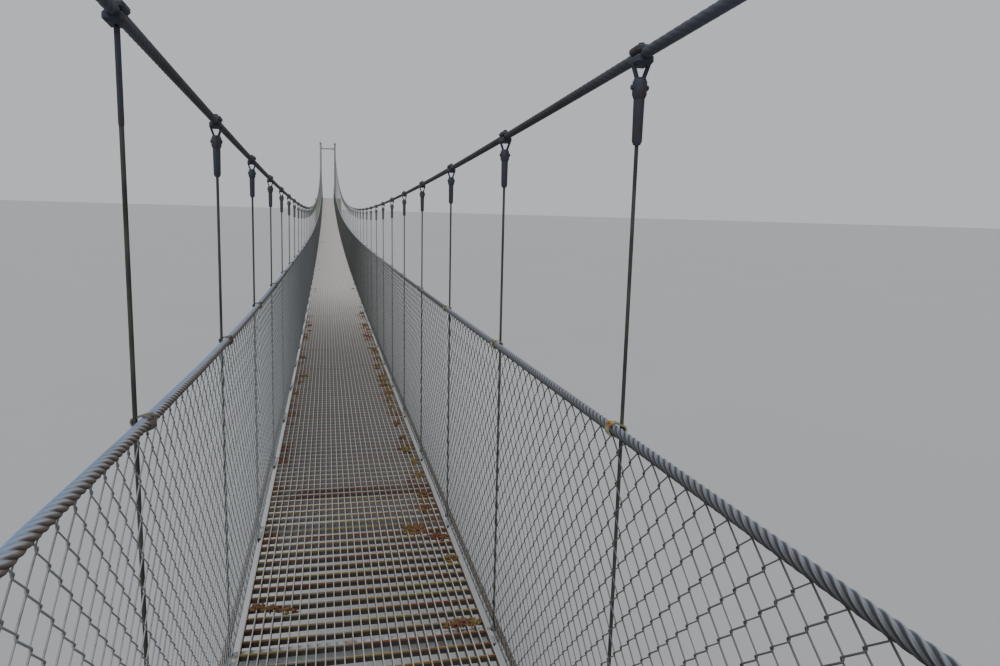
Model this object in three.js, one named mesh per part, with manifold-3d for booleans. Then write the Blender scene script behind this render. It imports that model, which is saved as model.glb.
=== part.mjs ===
// A 1:10 scale model of a wire-rope suspension footbridge.
// Two concrete abutments carry steel towers. Two main cables run from anchor block to anchor block over
// saddles on the tower heads. Rod hangers every bay carry the transoms and the bar-grating deck.
// Handrail ropes and chain-link netting close both sides.
// X is across the bridge, Y along it and Z up. The origin is under mid-span, at floor level.
import * as THREE from 'three';
import { mergeVertices } from 'three/addons/utils/BufferGeometryUtils.js';
import Module from 'manifold-3d';

const wasm = await Module();
wasm.setup();

// Driving dimensions: the real bridge's sizes in millimetres, times the model's scale
const scale = 1 / 10;
const real = (millimetres) => millimetres * scale;
const gap = 0.3;

const bay = real(1200);
const bayCount = 96;
const sectionCount = 4;
const deckSag = real(2550);
const cableSag = real(5940);
const cableAboveDeck = real(1730);
const landingHeight = real(3200);

const deckWidth = real(940);
const gratingDepth = real(30);
const transomWidth = real(60);
const transomDepth = real(45);
const transomLength = real(1080);
const endTransomLength = real(920);
const transomBite = gap;

const ropeSides = 6;
const cableRadius = real(12);
const cableSpreadMiddle = real(486);
const cableSpreadTower = real(650);
const hangerSize = real(9);
const hangerFootSpread = real(505);
const bottomRopeRadius = real(12);
const bottomRopeBite = real(2);

const railHeights = { right: real(1145), left: real(1160) };
const leftRailRise = real(55);
const leftRiseStart = real(12000);
const leftRiseLength = real(3000);
const railRadius = real(12);
const nettingThickness = real(8);
const nettingLift = real(20);

const legRadius = real(84);
const legSides = 12;
const basePlateSize = real(260);
const plateThickness = real(20);
const saddleRadius = real(600);
const saddleBase = real(90);
const saddleLength = real(420);
const saddleWidth = real(110);
const cheekThickness = real(14);
const cheekRise = real(45);
const beamDrop = real(450);
const beamSize = real(120);
const railLugSize = real(60);

const abutmentWidth = real(2400);
const abutmentFront = real(500);
const abutmentBack = real(2300);
const seatLength = real(250);
const backstaySlope = 0.6;
const anchorWidth = real(2400);
const anchorLength = real(2800);
const anchorHeight = real(1700);
const anchorEyeHeight = real(1000);
const anchorPlateSize = real(300);
const anchorRodRadius = real(24);
const anchorRodLength = real(320);
const socketRadius = real(40);
const socketNeckRadius = real(18);
const socketLength = real(260);
const socketSides = 8;

// Lines that the pieces follow
const halfSpan = (bay * bayCount) / 2;
const deckEnd = halfSpan - abutmentFront + seatLength - gap;
const deckCurve = deckSag / halfSpan ** 2;
const cableCurve = cableSag / halfSpan ** 2;
const middleDeck = landingHeight - deckCurve * deckEnd ** 2;
const middleCable = middleDeck + cableAboveDeck;
const deckTop = (y) => middleDeck + deckCurve * y * y;
const cableHeight = (y) => middleCable + cableCurve * y * y;
const cableSpread = (y) => cableSpreadMiddle + (cableSpreadTower - cableSpreadMiddle) * (y / halfSpan) ** 2;

// A hanger leans in a straight line from the transom end to the cable
function hangerSpread(y, height) {
  const share = (height - deckTop(y)) / (cableHeight(y) - deckTop(y));
  return hangerFootSpread + (cableSpread(y) - hangerFootSpread) * share;
}
// The left handrail curves up to a higher end on the near side of mid-span
function railHeightAt(side, y) {
  const share = THREE.MathUtils.clamp((-y - leftRiseStart) / leftRiseLength, 0, 1);
  return railHeights[side] + (side === 'left' ? leftRailRise * share ** 2 : 0);
}
const railInset = hangerSize / 2 + railRadius + gap;
const railSpread = (y, railHeight) => hangerSpread(y, deckTop(y) + railHeight(y)) - railInset;
const railEnd = halfSpan - railLugSize - 2 * gap;
const hangerTop = (y) => cableHeight(y) - cableRadius - gap - cableCurve * Math.abs(y) * hangerSize;

// Materials
const galvanised = new THREE.MeshStandardMaterial({ color: 0x9a9c98, roughness: 0.55, metalness: 0.8 });
const wireRope = new THREE.MeshStandardMaterial({ color: 0x4a4038, roughness: 0.7, metalness: 0.6 });
const railRope = new THREE.MeshStandardMaterial({ color: 0x8a8c8e, roughness: 0.6, metalness: 0.7 });
const darkSteel = new THREE.MeshStandardMaterial({ color: 0x3c3834, roughness: 0.65, metalness: 0.6 });
const netting = new THREE.MeshStandardMaterial({ color: 0x7c7f7c, roughness: 0.6, metalness: 0.7 });
const concrete = new THREE.MeshStandardMaterial({ color: 0x9b978e, roughness: 0.9, metalness: 0 });

const bridge = new THREE.Group();
bridge.name = 'suspension_footbridge';

function addPiece(name, geometry, material) {
  const mesh = new THREE.Mesh(geometry, material);
  mesh.name = name;
  bridge.add(mesh);
  return mesh;
}

// A closed geometry as a solid for joining and cutting
function toSolid(geometry) {
  const bare = geometry.clone();
  bare.deleteAttribute('normal');
  bare.deleteAttribute('uv');
  const merged = mergeVertices(bare, 1e-4);
  const corners = merged.index.array;
  const triangles = [];
  for (let i = 0; i < corners.length; i += 3) {
    const [a, b, c] = corners.slice(i, i + 3);
    if (a !== b && b !== c && c !== a) triangles.push(a, b, c);
  }
  return new wasm.Manifold(new wasm.Mesh({
    numProp: 3,
    vertProperties: new Float32Array(merged.attributes.position.array),
    triVerts: new Uint32Array(triangles),
  }));
}

function toGeometry(solid) {
  const mesh = solid.getMesh();
  const geometry = new THREE.BufferGeometry();
  geometry.setAttribute('position', new THREE.BufferAttribute(mesh.vertProperties, 3));
  geometry.setIndex(new THREE.BufferAttribute(mesh.triVerts, 1));
  return geometry;
}

function join(geometries) {
  return toGeometry(geometries.map(toSolid).reduce((whole, next) => whole.add(next)));
}

// A profile of [y, z] points in the plane along the bridge, given thickness across it about x = 0
function acrossBridge(profile, thickness) {
  const shape = new THREE.Shape(profile.map(([y, z]) => new THREE.Vector2(y, z)));
  const geometry = new THREE.ExtrudeGeometry(shape, { depth: thickness, bevelEnabled: false });
  geometry.translate(0, 0, -thickness / 2);
  geometry.rotateX(Math.PI / 2);
  geometry.rotateZ(Math.PI / 2);
  return geometry;
}

// Moves each point of a flat piece sideways by a distance that depends on its place
function lean(geometry, sideways) {
  const position = geometry.attributes.position;
  for (let i = 0; i < position.count; i += 1) {
    position.setX(i, position.getX(i) + sideways(position.getY(i), position.getZ(i)));
  }
  return geometry;
}

// The mirror image of a piece on the other side of the bridge, with its faces still pointing out
function mirrored(geometry) {
  const copy = geometry.index ? geometry.toNonIndexed() : geometry.clone();
  copy.scale(-1, 1, 1);
  const position = copy.attributes.position;
  const first = new THREE.Vector3();
  const second = new THREE.Vector3();
  for (let i = 0; i < position.count; i += 3) {
    first.fromBufferAttribute(position, i);
    second.fromBufferAttribute(position, i + 1);
    position.setXYZ(i, second.x, second.y, second.z);
    position.setXYZ(i + 1, first.x, first.y, first.z);
  }
  return copy;
}

// A piece for each side of the bridge, made for the right and mirrored for the left.
// The turn about Z that puts a piece on the near bank also swaps its sides and its ends.
function addPair(name, make, material, turn = 0) {
  for (const side of ['right', 'left']) {
    const geometry = make((y) => railHeightAt(side, turn === 0 ? y : -y));
    const keepsSide = (side === 'right') === (turn === 0);
    addPiece(`${name}_${side}`, keepsSide ? geometry : mirrored(geometry), material).rotation.z = turn;
  }
}

// A rope's centre line through given points, with one section at each point
class RopeLine extends THREE.Curve {
  constructor(points) {
    super();
    this.points = points;
  }

  getPoint(t) {
    const place = t * (this.points.length - 1);
    const index = Math.min(Math.floor(place), this.points.length - 2);
    return this.points[index].clone().lerp(this.points[index + 1], place - index);
  }

  getPointAt(u) {
    return this.getPoint(u);
  }

  getTangentAt(u) {
    return this.getTangent(u);
  }
}

function rope(points, radius) {
  const section = new THREE.Shape();
  for (let i = 0; i < ropeSides; i += 1) {
    const angle = (2 * Math.PI * (i + 0.5)) / ropeSides;
    const corner = [radius * Math.cos(angle), radius * Math.sin(angle)];
    if (i === 0) section.moveTo(...corner);
    else section.lineTo(...corner);
  }
  section.closePath();
  const line = new RopeLine(points);
  return new THREE.ExtrudeGeometry(section, { steps: points.length - 1, extrudePath: line, bevelEnabled: false });
}

// Places along the bridge, every `stride` bays, with the ends given
function placesBetween(start, end, stride) {
  const places = [start];
  const first = Math.ceil(start / bay + 0.01);
  for (let i = first; i * bay < end - 1; i += 1) {
    if (i % stride === 0 && i * bay > start + 1) places.push(i * bay);
  }
  places.push(end);
  return places;
}

// A strip between two curves over the same places
function strip(places, lower, upper) {
  const bottom = places.map((y) => [y, lower(y)]);
  const top = places.map((y) => [y, upper(y)]).reverse();
  return bottom.concat(top);
}

// Abutments: a concrete block with a seat for the deck end at its front and a landing on top
const endTransomPlace = deckEnd - transomWidth / 2 - gap;
const transomTop = (y) => deckTop(y) - gratingDepth + transomBite;
const seatHeight = transomTop(endTransomPlace) - transomDepth - gap;

function abutment() {
  const front = halfSpan - abutmentFront;
  const back = halfSpan + abutmentBack;
  return acrossBridge([
    [front, 0],
    [back, 0],
    [back, landingHeight],
    [front + seatLength, landingHeight],
    [front + seatLength, seatHeight],
    [front, seatHeight],
  ], abutmentWidth);
}

// Towers: on each bank two tubular legs on base plates, a cross beam and a saddle on each leg head.
// A lug on each leg reaches in to the end of the handrail rope.
// The cable leaves the saddle's arc where its slope fits the span and the backstay.
const spanAngle = Math.atan(2 * cableCurve * halfSpan);
const spanLeave = halfSpan - saddleRadius * Math.sin(spanAngle);
const saddleTop = cableHeight(spanLeave) + saddleRadius * (1 - Math.cos(spanAngle));
const backAngle = Math.atan(backstaySlope);
const saddleGroove = saddleTop - cableRadius - gap;
const legTop = saddleGroove - saddleBase - gap;

function towerLeg(railHeight) {
  const bottom = landingHeight + gap;
  const length = legTop - bottom;
  const tube = new THREE.CylinderGeometry(legRadius, legRadius, length - plateThickness, legSides);
  tube.rotateX(Math.PI / 2);
  tube.translate(cableSpreadTower, halfSpan, bottom + length / 2);
  const base = new THREE.BoxGeometry(basePlateSize, basePlateSize, plateThickness);
  base.translate(cableSpreadTower, halfSpan, bottom + plateThickness / 2);
  const head = new THREE.BoxGeometry(basePlateSize, basePlateSize, plateThickness);
  head.translate(cableSpreadTower, halfSpan, legTop - plateThickness / 2);
  const lugTip = railSpread(railEnd, railHeight) - railLugSize / 2;
  const lug = new THREE.BoxGeometry(cableSpreadTower - lugTip, railLugSize, railLugSize);
  lug.translate((cableSpreadTower + lugTip) / 2, halfSpan - railLugSize / 2, deckTop(railEnd) + railHeight(railEnd));
  return join([tube, base, head, lug]);
}

function saddle() {
  const half = saddleLength / 2;
  const arcPoints = [];
  const steps = 6;
  for (let i = 0; i <= steps; i += 1) {
    const y = half - (2 * half * i) / steps;
    arcPoints.push([halfSpan + y, saddleGroove - grooveDrop(y)]);
  }
  const seat = acrossBridge([
    [halfSpan - half, legTop + gap],
    [halfSpan + half, legTop + gap],
    ...arcPoints,
  ], saddleWidth);
  const cheekProfile = [
    [halfSpan - half, legTop + 2 * gap],
    [halfSpan + half, legTop + 2 * gap],
    ...arcPoints.map(([y, z]) => [y, z + cheekRise]),
  ];
  const cheekPlace = cableRadius + 2 * gap + cheekThickness / 2;
  const inner = acrossBridge(cheekProfile, cheekThickness);
  inner.translate(-cheekPlace, 0, 0);
  const outer = acrossBridge(cheekProfile, cheekThickness);
  outer.translate(cheekPlace, 0, 0);
  const whole = join([seat, inner, outer]);
  whole.translate(cableSpreadTower, 0, 0);
  return whole;
}

// How far the saddle's arc has dropped at a distance from its crown
function grooveDrop(y) {
  const arcRadius = saddleRadius - cableRadius - gap;
  return arcRadius - Math.sqrt(arcRadius ** 2 - y ** 2);
}

function towerBeam() {
  const length = 2 * (cableSpreadTower - legRadius - gap);
  const beam = new THREE.BoxGeometry(length, beamSize, beamSize);
  beam.translate(0, halfSpan, legTop - beamDrop);
  return beam;
}

// Anchor blocks: concrete with a face square to the backstay, where a plate and rod hold each cable socket
const backDirection = new THREE.Vector3(0, Math.cos(backAngle), -Math.sin(backAngle));
const backLeave = new THREE.Vector3(
  cableSpreadTower,
  halfSpan + saddleRadius * Math.sin(backAngle),
  saddleTop - saddleRadius * (1 - Math.cos(backAngle)),
);
const backstayLength = (backLeave.z - anchorEyeHeight) / Math.sin(backAngle);
const anchorFace = backLeave.clone().addScaledVector(backDirection, backstayLength);
const fittingLength = plateThickness + anchorRodLength + socketLength;

function anchorBlock() {
  const slope = Math.tan(backAngle);
  const toTop = anchorHeight - anchorFace.z;
  const back = anchorFace.y + anchorLength;
  return acrossBridge([
    [anchorFace.y - anchorFace.z * slope, 0],
    [back, 0],
    [back, anchorHeight],
    [anchorFace.y + toTop * slope, anchorHeight],
  ], anchorWidth);
}

function anchorage() {
  const plate = new THREE.BoxGeometry(anchorPlateSize, plateThickness, anchorPlateSize);
  plate.translate(0, gap + plateThickness / 2, 0);
  const rodStart = gap + plateThickness / 2;
  const rodEnd = gap + plateThickness + anchorRodLength;
  const socketEnd = gap + fittingLength;
  const fitting = new THREE.LatheGeometry([
    new THREE.Vector2(0, rodStart),
    new THREE.Vector2(anchorRodRadius, rodStart),
    new THREE.Vector2(anchorRodRadius, rodEnd),
    new THREE.Vector2(socketRadius, rodEnd),
    new THREE.Vector2(socketNeckRadius, socketEnd),
    new THREE.Vector2(0, socketEnd),
  ], socketSides);
  const whole = join([plate, fitting]);
  whole.rotateX(Math.PI - backAngle);
  whole.translate(anchorFace.x, anchorFace.y, anchorFace.z);
  return whole;
}

// Main cable: one half from mid-span to the socket, then the other half
function mainCable() {
  const half = placesBetween(0, spanLeave, 2).map((y) => new THREE.Vector3(cableSpread(y), y, cableHeight(y)));
  const arcSteps = 4;
  for (let i = 1; i <= arcSteps; i += 1) {
    const angle = -spanAngle + ((spanAngle + backAngle) * i) / arcSteps;
    half.push(new THREE.Vector3(
      cableSpreadTower,
      halfSpan + saddleRadius * Math.sin(angle),
      saddleTop - saddleRadius * (1 - Math.cos(angle)),
    ));
  }
  half.push(backLeave.clone().addScaledVector(backDirection, backstayLength - fittingLength - 2 * gap));
  const otherHalf = half.slice(1).map((point) => new THREE.Vector3(point.x, -point.y, point.z)).reverse();
  return rope(otherHalf.concat(half), cableRadius);
}

// Handrail rope, from tower leg to tower leg
function handrail(railHeight) {
  const points = placesBetween(-railEnd, railEnd, 2)
    .map((y) => new THREE.Vector3(railSpread(y, railHeight), y, deckTop(y) + railHeight(y)));
  return rope(points, railRadius);
}

// Sections of deck, hangers and netting between them
const sectionBays = bayCount / sectionCount;
const sectionEdges = [];
for (let i = 0; i <= sectionCount; i += 1) {
  const edge = (i * sectionBays - bayCount / 2) * bay + transomWidth / 2 + gap;
  sectionEdges.push(Math.max(-deckEnd, Math.min(deckEnd, edge)));
}

// Hangers of one section, standing on the transom ends and joined by the bottom rope outside their feet
const footHeight = (y) => transomTop(y) + gap;
const bottomRopeSpread = hangerFootSpread + hangerSize / 2 + bottomRopeRadius - bottomRopeBite;

function hangers(start, end) {
  const ropePlaces = placesBetween(start, end, 2);
  const ropeLine = ropePlaces.map((y) => new THREE.Vector3(bottomRopeSpread, y, footHeight(y) + bottomRopeRadius));
  const pieces = [rope(ropeLine, bottomRopeRadius)];
  for (const y of placesBetween(start, end, 1).slice(1, -1)) {
    const length = hangerTop(y) - footHeight(y);
    const rod = new THREE.BoxGeometry(hangerSize, hangerSize, length);
    rod.translate(0, y, footHeight(y) + length / 2);
    pieces.push(lean(rod, hangerSpread));
  }
  return join(pieces);
}

// One section of netting inside the rods, from the transoms' tops to just under the handrail rope.
// A flat box is bent so that its long edges follow the two ropes.
function nettingPanel(start, end, railHeight) {
  const bottomSpread = hangerFootSpread - hangerSize / 2 - gap - nettingThickness / 2;
  const lower = (y) => footHeight(y) + nettingLift;
  const upper = (y) => deckTop(y) + railHeight(y) - railRadius - gap;
  const panel = new THREE.BoxGeometry(nettingThickness, end - start, 1, 1, sectionBays / 2, 1);
  panel.translate(0, (start + end) / 2, 0.5);
  const position = panel.attributes.position;
  for (let i = 0; i < position.count; i += 1) {
    const y = position.getY(i);
    const share = position.getZ(i);
    position.setX(i, position.getX(i) + bottomSpread + (railSpread(y, railHeight) - bottomSpread) * share);
    position.setZ(i, lower(y) + (upper(y) - lower(y)) * share);
  }
  return panel;
}

// One section of deck: the bar grating on its transoms
function deckSection(start, end) {
  const bottom = (y) => deckTop(y) - gratingDepth;
  const pieces = [acrossBridge(strip(placesBetween(start, end, 2), bottom, deckTop), deckWidth)];
  const addTransom = (y, length) => {
    const transom = new THREE.BoxGeometry(length, transomWidth, transomDepth);
    transom.translate(0, y, transomTop(y) - transomDepth / 2);
    pieces.push(transom);
  };
  for (const y of placesBetween(start, end, 1).slice(1, -1)) addTransom(y, transomLength);
  if (start === -deckEnd) addTransom(-endTransomPlace, endTransomLength);
  if (end === deckEnd) addTransom(endTransomPlace, endTransomLength);
  return join(pieces);
}

// The bank at the far end, and the same pieces turned round for the near end
for (const [bank, turn] of [['far', 0], ['near', Math.PI]]) {
  addPiece(`abutment_${bank}`, abutment(), concrete).rotation.z = turn;
  addPiece(`anchor_block_${bank}`, anchorBlock(), concrete).rotation.z = turn;
  addPiece(`tower_beam_${bank}`, towerBeam(), galvanised).rotation.z = turn;
  addPair(`tower_leg_${bank}`, towerLeg, galvanised, turn);
  addPair(`saddle_${bank}`, saddle, darkSteel, turn);
  addPair(`anchorage_${bank}`, anchorage, darkSteel, turn);
}

addPair('main_cable', mainCable, wireRope);
addPair('handrail_rope', handrail, railRope);
for (let i = 0; i < sectionCount; i += 1) {
  const start = sectionEdges[i] + gap / 2;
  const end = sectionEdges[i + 1] - gap / 2;
  const first = i === 0 ? -deckEnd : start;
  const last = i === sectionCount - 1 ? deckEnd : end;
  addPiece(`deck_${i + 1}`, deckSection(first, last), galvanised);
  addPair(`hangers_${i + 1}`, () => hangers(first, last), darkSteel);
  addPair(`netting_${i + 1}`, (railHeight) => nettingPanel(first, last, railHeight), netting);
}

export default bridge;
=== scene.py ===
"""A wire-rope suspension footbridge, 1:10 scale: looks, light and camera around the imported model."""
import math
import random

import bmesh
import bpy
from mathutils import Matrix, Vector


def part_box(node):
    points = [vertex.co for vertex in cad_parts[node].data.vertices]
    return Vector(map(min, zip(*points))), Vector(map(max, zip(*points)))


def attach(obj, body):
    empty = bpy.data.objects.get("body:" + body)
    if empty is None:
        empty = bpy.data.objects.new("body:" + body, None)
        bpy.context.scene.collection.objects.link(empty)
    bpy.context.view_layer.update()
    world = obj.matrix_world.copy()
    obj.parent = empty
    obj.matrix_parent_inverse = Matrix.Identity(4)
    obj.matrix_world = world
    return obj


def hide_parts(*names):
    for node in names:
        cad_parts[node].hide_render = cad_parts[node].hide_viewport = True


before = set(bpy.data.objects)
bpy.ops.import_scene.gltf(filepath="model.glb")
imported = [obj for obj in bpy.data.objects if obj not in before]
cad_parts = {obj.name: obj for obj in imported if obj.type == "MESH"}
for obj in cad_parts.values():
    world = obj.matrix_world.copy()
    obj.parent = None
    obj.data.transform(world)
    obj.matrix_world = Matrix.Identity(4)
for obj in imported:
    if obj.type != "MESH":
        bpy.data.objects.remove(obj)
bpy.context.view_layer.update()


# Abutments
# On each bank a block of concrete stands from the ground up to the landing, with a seat at its front for
# the deck's last beam. It is poured in boarded formwork with chamfered edges, which leaves board marks.
def real(millimetres):
    """A length on the real bridge, at 1:10 and in metres."""
    return millimetres * 1e-4


def tint(red, green, blue):
    """A colour from 0 to 255 a channel, as the shaders take it."""
    shares = [value / 255 for value in (red, green, blue)]
    return [s / 12.92 if s < 0.04045 else ((s + 0.055) / 1.055) ** 2.4 for s in shares] + [1.0]


def sums(operation, swapped=False):
    """An operator that adds a Math node to the tree of the value it starts from."""
    def operator(self, *others):
        values = (self, *others)
        return self.tree.node("ShaderNodeMath", values[::-1] if swapped else values, operation=operation)
    return operator


class Flow:
    """A node's output, which Python sums can be written with."""

    __add__ = __radd__ = sums("ADD")
    __sub__ = sums("SUBTRACT")
    __rsub__ = sums("SUBTRACT", swapped=True)
    __mul__ = __rmul__ = sums("MULTIPLY")
    __truediv__ = sums("DIVIDE")
    __mod__ = sums("MODULO")
    __abs__ = sums("ABSOLUTE")

    def __init__(self, tree, socket):
        self.tree = tree
        self.socket = socket

    def step(self, low, high):
        """A soft step from 0 at low to 1 at high."""
        return self.tree.node("ShaderNodeMapRange", [self, low, high], interpolation_type="SMOOTHSTEP")


class Tree:
    """A shader or geometry tree. One method adds any node and makes its settings before its sockets."""

    def __init__(self, tree):
        self.tree = tree

    def node(self, kind, sockets=(), output=0, **settings):
        made = self.tree.nodes.new(kind)
        for name, value in settings.items():
            setattr(made, name, value)
        for key, value in sockets.items() if isinstance(sockets, dict) else enumerate(sockets):
            if isinstance(value, Flow):
                self.tree.links.new(value.socket, made.inputs[key])
            else:
                made.inputs[key].default_value = value
        return Flow(self, made.outputs[output])

    def axis(self, vector, name):
        return self.node("ShaderNodeSeparateXYZ", [vector], name)


class Finish(Tree):
    """A material on one Principled shader, and its slot. Patterns lie in the bridge's own coordinates."""

    def __init__(self, name, slot=None, **fixed):
        self.slot = slot
        self.material = bpy.data.materials.new(name)
        self.material.use_nodes = True
        super().__init__(self.material.node_tree)
        self.shader = self.tree.nodes["Principled BSDF"]
        for socket, value in fixed.items():
            self.shader.inputs[socket.replace("_", " ")].default_value = value
        self.place = self.node("ShaderNodeTexCoord", output="Object")

    def fade(self, axis, start, end):
        """A soft step from 0 to 1 between two places on an axis, in real millimetres."""
        return self.axis(self.place, axis).step(real(start), real(end))

    def speckle(self, size, detail=3.0, stretch=(1, 1, 1)):
        """Noise from 0 to 1 with lumps of that real size, drawn out along the axes that stretch names."""
        scale = [1 / (real(size) * share) for share in stretch]
        spot = self.node("ShaderNodeVectorMath", [self.place, scale], operation="MULTIPLY")
        return self.node("ShaderNodeTexNoise", {"Vector": spot, "Scale": 1.0, "Detail": detail}, "Fac")

    def mix(self, ground, *coats):
        """Coats of colour over a ground, each with the share of it that the coat hides."""
        for coat, share in coats:
            ground = self.node("ShaderNodeMix", {0: share, 6: ground, 7: coat}, 2, data_type="RGBA")
        return ground

    def attribute(self, name):
        return self.node("ShaderNodeAttribute", output="Fac", attribute_name=name)

    def paint(self, colour, roughness=None, relief=None, depth=0.0):
        """Feeds the shader, and a relief of that depth through a Bump node to Normal."""
        feeds = {"Base Color": colour, "Roughness": roughness}
        if relief is not None:
            feeds["Normal"] = self.node("ShaderNodeBump", {"Distance": depth, "Height": relief})
        for socket, value in feeds.items():
            if value is not None:
                self.tree.links.new(value.socket, self.shader.inputs[socket])
        return self


def concrete():
    finish = Finish("weathered_concrete", "concrete", Specular_IOR_Level=0.35)
    board = real(200)
    height = finish.axis(finish.place, "Z")
    cloud = finish.speckle(900, 6)
    grit = finish.speckle(24, 4)
    seam = abs(height / board % 1 - 0.5).step(0.46, 0.5)
    streak = finish.speckle(160, 4, (1, 1, 12)).step(0.5, 0.75)
    # A greenish damp stain that darkens the foot of each block.
    darkening = (height + finish.speckle(500) * real(900)).step(real(1100), real(300))
    colour = finish.mix(
        tint(168, 164, 154),
        (tint(126, 121, 111), cloud),
        (tint(92, 88, 78), streak * 0.55),
        (tint(82, 84, 58), darkening * 0.6),
        (tint(96, 92, 84), seam * 0.5),
    )
    return finish.paint(colour, 0.78 + grit * 0.2, grit * 0.35 - seam + cloud * 0.4, real(5))


def shown(name, mesh, finish, nodes=(), smooth=None):
    """A finished piece at the origin, riding on the bridge and standing for its CAD nodes."""
    piece = bpy.data.objects.new(name, mesh)
    bpy.context.scene.collection.objects.link(piece)
    mesh.materials.clear()
    mesh.materials.append(finish.material)
    if smooth is not None:
        mesh.shade_smooth()
        mesh.set_sharp_from_angle(angle=math.radians(smooth))
    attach(piece, "root")
    if nodes:
        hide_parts(*nodes)


def chamfered(node, width, segments=2):
    """A copy of a CAD node's shape with its flat faces whole and its edges rounded off."""
    form = bmesh.new()
    form.from_mesh(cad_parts[node].data)
    bmesh.ops.remove_doubles(form, verts=form.verts, dist=real(0.2))
    bmesh.ops.dissolve_limit(form, angle_limit=math.radians(1), verts=form.verts, edges=form.edges)
    sharp = [edge for edge in form.edges if edge.calc_face_angle(0) > math.radians(20)]
    bmesh.ops.bevel(form, geom=sharp, offset=width, segments=segments, profile=0.5, affect="EDGES")
    mesh = bpy.data.meshes.new(node)
    form.to_mesh(mesh)
    form.free()
    return mesh


concrete_finish = concrete()
banks = {"far": 1, "near": -1}
for bank in banks:
    node = f"abutment_{bank}"
    shown(f"{node}_concrete", chamfered(node, real(18)), concrete_finish, [node], smooth=40)


# Anchor blocks
# Buried weights of the same concrete, one behind each abutment, with a sloping front face square to the
# backstays. They hold the main cables' pull by their mass.
for bank in banks:
    node = f"anchor_block_{bank}"
    shown(f"{node}_concrete", chamfered(node, real(25)), concrete_finish, [node], smooth=40)


# Towers
# Each bank has two round steel legs on bolted base plates, stiffened by four gussets at the foot, with a
# head plate for the saddle and a box-section beam between them. All of it is welded and hot-dip galvanised.
def galvanised():
    finish = Finish("galvanised_steel", "galvanised_steel", Metallic=0.75)
    spangle = finish.speckle(26, 2)
    cloud = finish.speckle(420, 5)
    run = finish.speckle(60, 3, (1, 1, 14)).step(0.55, 0.8)
    rust = finish.speckle(150, 8).step(0.64, 0.74)
    colour = finish.mix(
        tint(172, 174, 172),
        (tint(128, 130, 128), cloud),
        (tint(198, 200, 198), spangle.step(0.5, 0.7) * 0.35),
        (tint(104, 98, 88), run * 0.6),
        (tint(112, 66, 38), rust * 0.8),
    )
    return finish.paint(colour, 0.4 + cloud * 0.25 + rust * 0.25, rust + spangle * 0.2, real(1))


def pointing(place, direction):
    """A frame at a place with its Z axis along a direction."""
    turn = Vector(direction).to_track_quat("Z", "Y").to_matrix().to_4x4()
    return Matrix.Translation(place) @ turn


origin = Matrix.Identity(4)


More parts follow.
